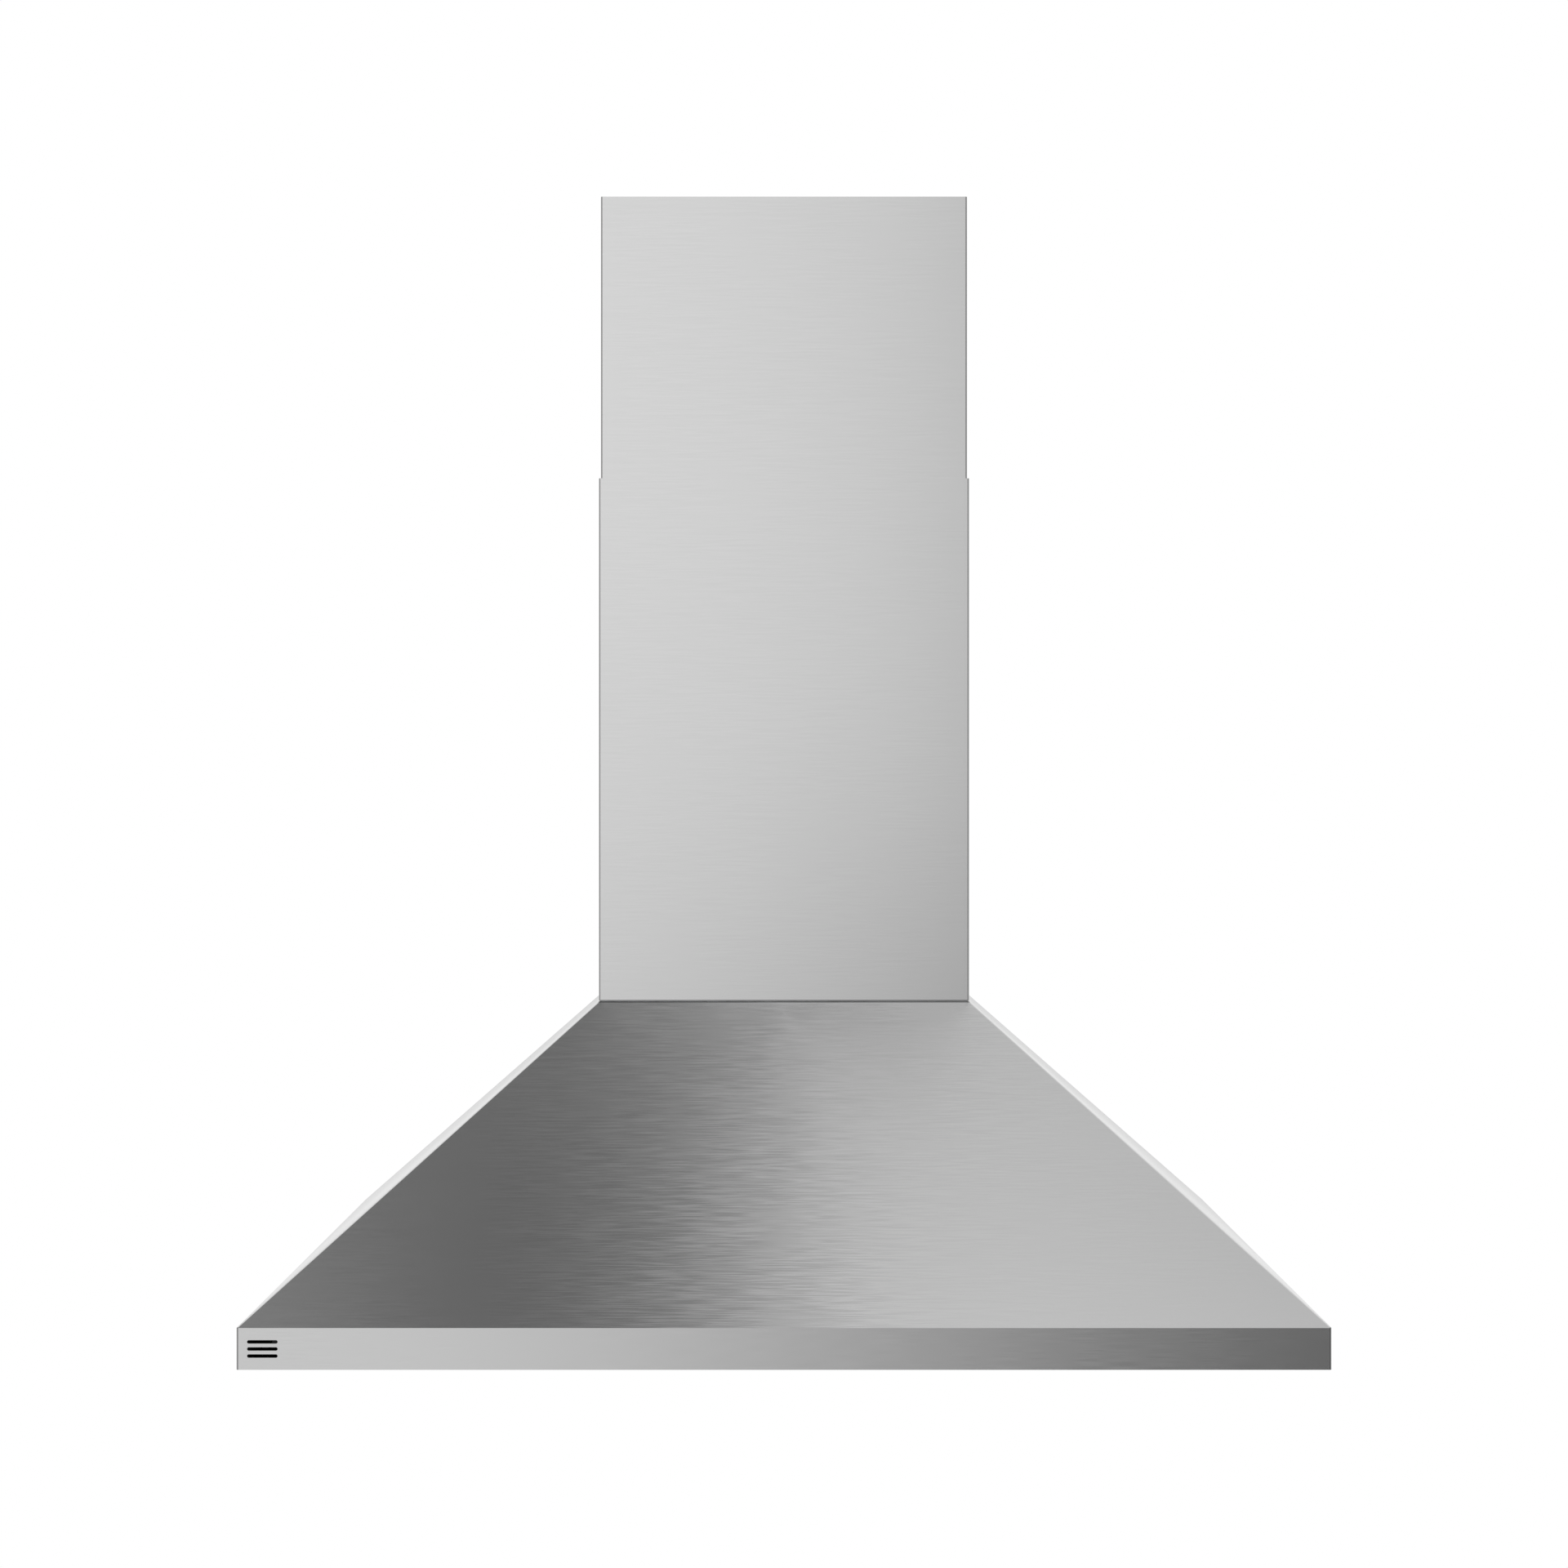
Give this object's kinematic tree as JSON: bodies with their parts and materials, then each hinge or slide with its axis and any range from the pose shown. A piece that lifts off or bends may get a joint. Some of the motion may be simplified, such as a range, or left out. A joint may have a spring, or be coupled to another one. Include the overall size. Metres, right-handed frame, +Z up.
{
  "type": "wall mounted chimney range hood",
  "caption": "Wall-mounted kitchen range hood in brushed steel: low pyramid canopy under a telescoping square chimney, with baffle filters, lamps, push buttons and a blower inside.",
  "frame": {"origin": "on the wall plane, in the hood's middle, level with the bottom edge of the band", "axes": "+X to the right for someone facing the hood, +Y into the wall, +Z up"},
  "size_m": [0.759, 0.5, 0.879],
  "materials": {
    "shell_steel": "brushed satin stainless",
    "galvanised_steel": "galvanised sheet",
    "motor_steel": "dark enamel",
    "plain_steel": "bright drawn",
    "wheel_plastic": "moulded",
    "flap_aluminium": "mill sheet",
    "filter_aluminium": "satin",
    "dark_plastic": "fine texture",
    "lamp_metal": "satin plated",
    "lens_glass": "frosted",
    "board": "circuit board",
    "capacitor_can": "drawn can",
    "button_plastic": "metallised"
  },
  "bodies": {
    "hood": {"canopy_shell": "shell_steel", "rear_panel": "galvanised_steel", "hanger_plates": "galvanised_steel", "under_panel": "shell_steel", "top_tray": "galvanised_steel", "lower_cover": "shell_steel", "lamp_housings": "lamp_metal", "lamp_lenses": "lens_glass", "light_boards": "board", "control_box": "dark_plastic", "control_board": "board", "control_bezel": "dark_plastic", "blower_scroll": "galvanised_steel", "inlet_plate": "galvanised_steel", "back_plate": "galvanised_steel", "motor_body": "motor_steel", "motor_spider": "galvanised_steel", "outlet_adapter": "galvanised_steel", "damper_rod": "plain_steel", "junction_box": "galvanised_steel", "junction_lid": "galvanised_steel", "capacitor": "capacitor_can"},
    "upper_chimney": {"upper_cover": "shell_steel", "chimney_bracket": "galvanised_steel"},
    "filter_left": {"filter_frame_left": "filter_aluminium", "filter_baffles_left": "filter_aluminium", "latch_spring_left": "plain_steel"},
    "filter_right": {"filter_frame_right": "filter_aluminium", "filter_baffles_right": "filter_aluminium", "latch_spring_right": "plain_steel"},
    "latch_left": {"filter_latch_left": "dark_plastic"},
    "latch_right": {"filter_latch_right": "dark_plastic"},
    "wheel": {"impeller": "wheel_plastic", "motor_shaft": "plain_steel"},
    "flap_front": {"damper_flap_front": "flap_aluminium"},
    "flap_rear": {"damper_flap_rear": "flap_aluminium"},
    "light_button": {"button_light": "button_plastic"},
    "off_button": {"button_off": "button_plastic"},
    "low_button": {"button_low": "button_plastic"},
    "medium_button": {"button_medium": "button_plastic"},
    "high_button": {"button_high": "button_plastic"}
  },
  "joints": [
    {"name": "upper_chimney_slide", "type": "slide", "parent": "hood", "child": "upper_chimney", "axis": [0, 0, 1], "range_m": [-0.182, 0.133]},
    {"name": "filter_left_tilt", "type": "hinge", "parent": "hood", "child": "filter_left", "pos_m": [-0.171, -0.049, 0.0155], "axis": [1, 0, 0], "range_deg": [0, 50]},
    {"name": "latch_left_slide", "type": "slide", "parent": "filter_left", "child": "latch_left", "axis": [0, 1, 0], "range_m": [0, 0.006], "stiffness_N_per_m": 300, "springref_m": -0.002, "deforming": ["latch_spring_left"]},
    {"name": "filter_right_tilt", "type": "hinge", "parent": "hood", "child": "filter_right", "pos_m": [0.171, -0.049, 0.0155], "axis": [1, 0, 0], "range_deg": [0, 50]},
    {"name": "latch_right_slide", "type": "slide", "parent": "filter_right", "child": "latch_right", "axis": [0, 1, 0], "range_m": [0, 0.006], "stiffness_N_per_m": 300, "springref_m": -0.002, "deforming": ["latch_spring_right"]},
    {"name": "wheel_spin", "type": "hinge", "parent": "hood", "child": "wheel", "pos_m": [0, -0.106, 0.146], "axis": [1, 0, 0], "continuous": true},
    {"name": "flap_front_swing", "type": "hinge", "parent": "hood", "child": "flap_front", "pos_m": [0, -0.12, 0.322], "axis": [-1, 0, 0], "range_deg": [0, 80]},
    {"name": "flap_rear_swing", "type": "hinge", "parent": "hood", "child": "flap_rear", "pos_m": [0, -0.12, 0.322], "axis": [1, 0, 0], "range_deg": [0, 80]},
    {"name": "light_button_press", "type": "slide", "parent": "hood", "child": "light_button", "axis": [0, 0, 1], "range_m": [0, 0.002], "stiffness_N_per_m": 500, "springref_m": -0.0005},
    {"name": "off_button_press", "type": "slide", "parent": "hood", "child": "off_button", "axis": [0, 0, 1], "range_m": [0, 0.002], "stiffness_N_per_m": 500, "springref_m": -0.0005},
    {"name": "low_button_press", "type": "slide", "parent": "hood", "child": "low_button", "axis": [0, 0, 1], "range_m": [0, 0.002], "stiffness_N_per_m": 500, "springref_m": -0.0005},
    {"name": "medium_button_press", "type": "slide", "parent": "hood", "child": "medium_button", "axis": [0, 0, 1], "range_m": [0, 0.002], "stiffness_N_per_m": 500, "springref_m": -0.0005},
    {"name": "high_button_press", "type": "slide", "parent": "hood", "child": "high_button", "axis": [0, 0, 1], "range_m": [0, 0.002], "stiffness_N_per_m": 500, "springref_m": -0.0005}
  ]
}
